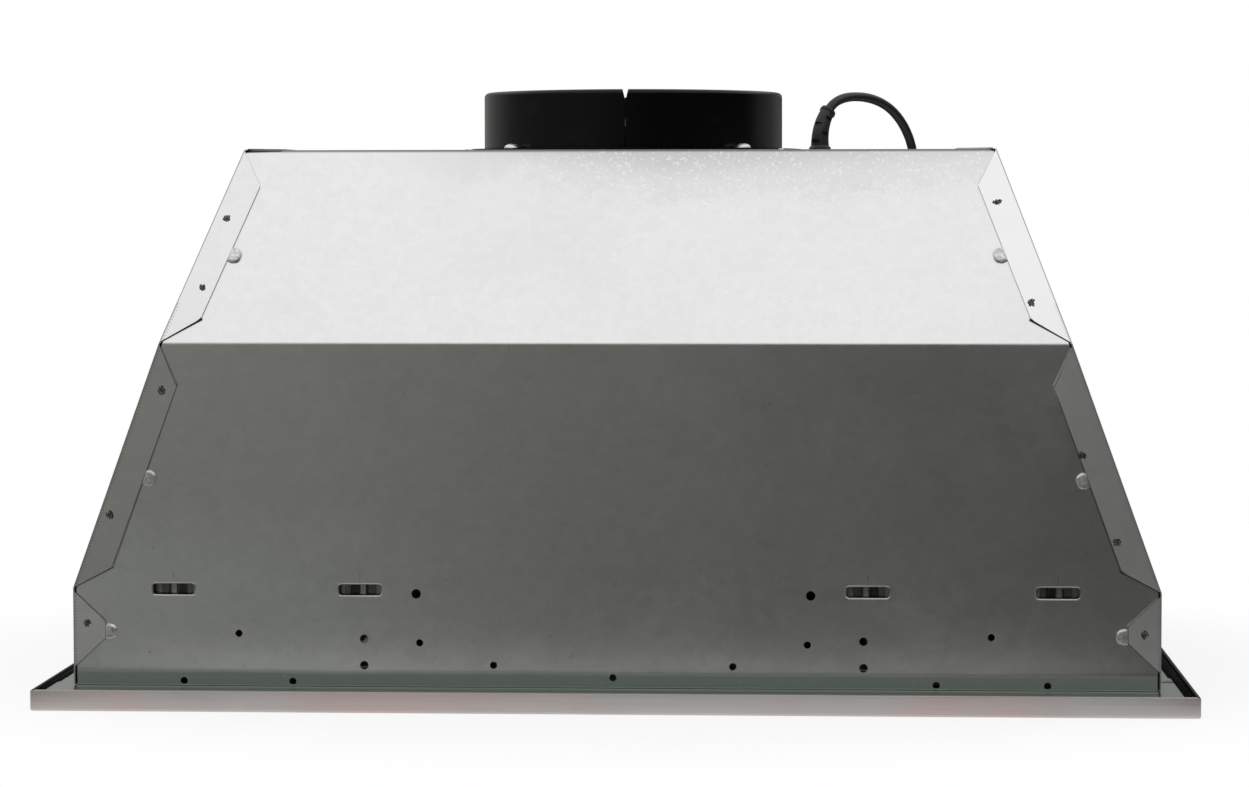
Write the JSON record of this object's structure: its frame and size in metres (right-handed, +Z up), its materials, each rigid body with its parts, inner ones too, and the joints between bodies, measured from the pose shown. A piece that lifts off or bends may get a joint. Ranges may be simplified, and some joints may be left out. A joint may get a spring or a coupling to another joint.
{
  "type": "range hood",
  "caption": "Built-in range hood insert: folded galvanised canopy on a stainless rim, with baffle filters, lamps, blower, damper collar and supply cord.",
  "frame": {"origin": "centre of the rim's footprint, on the plane that the rim stands on", "axes": "+X to the right seen from the front, +Y towards the rear, +Z up through the duct collar"},
  "size_m": [0.704, 0.6008, 0.3849],
  "materials": {
    "stainless_rim": "brushed stainless sheet, grain along each side",
    "stainless_panel": "brushed stainless sheet",
    "galvanised_steel": "galvanised sheet with a soft spangle",
    "spring_steel": "dark spring steel",
    "filter_steel": "satin stainless baffles",
    "bail_wire": "bright wire",
    "lamp_bezel": "satin chrome",
    "lamp_lens": "frosted",
    "lamp_housing": "cast, matt",
    "control_bezel": "satin silver",
    "button_plastic": "fine grain black",
    "circuit_board": "green solder mask",
    "fan_wheel": "plain pressed sheet",
    "shaft_steel": "ground steel",
    "motor_paint": "satin black",
    "capacitor_plastic": "white",
    "collar_plastic": "satin black moulding",
    "damper_steel": "plain sheet",
    "lead_sheath": "grey sheath",
    "boot_plastic": "black moulding",
    "cord_sheath": "black sheath, slight sheen",
    "plug_plastic": "black moulding",
    "plug_brass": "bright",
    "zinc_screws": "zinc plated"
  },
  "bodies": {
    "hood": {"bottom_trim": "stainless_rim", "bottom_panel": "stainless_panel", "base_frame": "galvanised_steel", "front_panel": "galvanised_steel", "rear_panel": "galvanised_steel", "side_panel_left": "galvanised_steel", "side_panel_right": "galvanised_steel", "filter_ledges": "galvanised_steel", "filter_catches": "spring_steel", "lamp_bezel_left": "lamp_bezel", "lamp_lens_left": "lamp_lens", "lamp_housing_left": "lamp_housing", "lamp_bezel_right": "lamp_bezel", "lamp_lens_right": "lamp_lens", "lamp_housing_right": "lamp_housing", "control_bezel": "control_bezel", "switch_board": "circuit_board", "control_cover": "galvanised_steel", "blower_scroll": "galvanised_steel", "blower_inlet_plate": "galvanised_steel", "blower_motor_plate": "galvanised_steel", "inlet_ring": "fan_wheel", "motor": "motor_paint", "capacitor": "capacitor_plastic", "capacitor_clip": "galvanised_steel", "duct_collar": "collar_plastic", "damper_rod": "shaft_steel", "junction_box": "galvanised_steel", "junction_cover": "galvanised_steel", "motor_lead": "lead_sheath", "control_lead": "lead_sheath", "cord_boot": "boot_plastic", "power_cord": "cord_sheath", "cord_coil": "cord_sheath", "cord_tail": "cord_sheath", "plug": "plug_plastic", "plug_blades": "plug_brass", "collar_screws": "zinc_screws", "blower_screws": "zinc_screws", "motor_screws": "zinc_screws", "junction_screws": "zinc_screws", "board_screws": "zinc_screws"},
    "fan_rotor": {"impeller": "fan_wheel", "motor_shaft": "shaft_steel"},
    "damper_left": {"damper_flap_left": "damper_steel"},
    "damper_right": {"damper_flap_right": "damper_steel"},
    "filter_left": {"filter_frame_left": "filter_steel", "filter_baffles_left": "filter_steel"},
    "filter_right": {"filter_frame_right": "filter_steel", "filter_baffles_right": "filter_steel"},
    "bail_left": {"filter_bail_left": "bail_wire"},
    "bail_right": {"filter_bail_right": "bail_wire"},
    "fan_off_button": {"button_fan_off": "button_plastic"},
    "fan_low_button": {"button_fan_low": "button_plastic"},
    "fan_medium_button": {"button_fan_medium": "button_plastic"},
    "fan_high_button": {"button_fan_high": "button_plastic"},
    "light_button": {"button_light": "button_plastic"}
  },
  "joints": [
    {"name": "fan_spin", "type": "hinge", "parent": "hood", "child": "fan_rotor", "pos_m": [0.05, -0.056, 0.188], "axis": [1, 0, 0], "continuous": true},
    {"name": "damper_left_swing", "type": "hinge", "parent": "hood", "child": "damper_left", "pos_m": [0, 0.032, 0.3581], "axis": [0, 1, 0], "range_deg": [0, 85]},
    {"name": "damper_right_swing", "type": "hinge", "parent": "hood", "child": "damper_right", "pos_m": [0, 0.032, 0.3581], "axis": [0, -1, 0], "range_deg": [0, 85]},
    {"name": "filter_left_tilt", "type": "hinge", "parent": "hood", "child": "filter_left", "pos_m": [-0.153, 0.1856, 0.0048], "axis": [1, 0, 0], "range_deg": [0, 70]},
    {"name": "bail_left_swing", "type": "hinge", "parent": "filter_left", "child": "bail_left", "pos_m": [-0.153, -0.1105, 0.003], "axis": [1, 0, 0], "range_deg": [-90, 0]},
    {"name": "filter_right_tilt", "type": "hinge", "parent": "hood", "child": "filter_right", "pos_m": [0.153, 0.1856, 0.0048], "axis": [1, 0, 0], "range_deg": [0, 70]},
    {"name": "bail_right_swing", "type": "hinge", "parent": "filter_right", "child": "bail_right", "pos_m": [0.153, -0.1105, 0.003], "axis": [1, 0, 0], "range_deg": [-90, 0]},
    {"name": "fan_off_press", "type": "slide", "parent": "hood", "child": "fan_off_button", "axis": [0, 0, 1], "range_m": [0, 0.001], "stiffness_N_per_m": 700, "springref_m": -0.001},
    {"name": "fan_low_press", "type": "slide", "parent": "hood", "child": "fan_low_button", "axis": [0, 0, 1], "range_m": [0, 0.001], "stiffness_N_per_m": 700, "springref_m": -0.001},
    {"name": "fan_medium_press", "type": "slide", "parent": "hood", "child": "fan_medium_button", "axis": [0, 0, 1], "range_m": [0, 0.001], "stiffness_N_per_m": 700, "springref_m": -0.001},
    {"name": "fan_high_press", "type": "slide", "parent": "hood", "child": "fan_high_button", "axis": [0, 0, 1], "range_m": [0, 0.001], "stiffness_N_per_m": 700, "springref_m": -0.001},
    {"name": "light_press", "type": "slide", "parent": "hood", "child": "light_button", "axis": [0, 0, 1], "range_m": [0, 0.001], "stiffness_N_per_m": 700, "springref_m": -0.001}
  ]
}
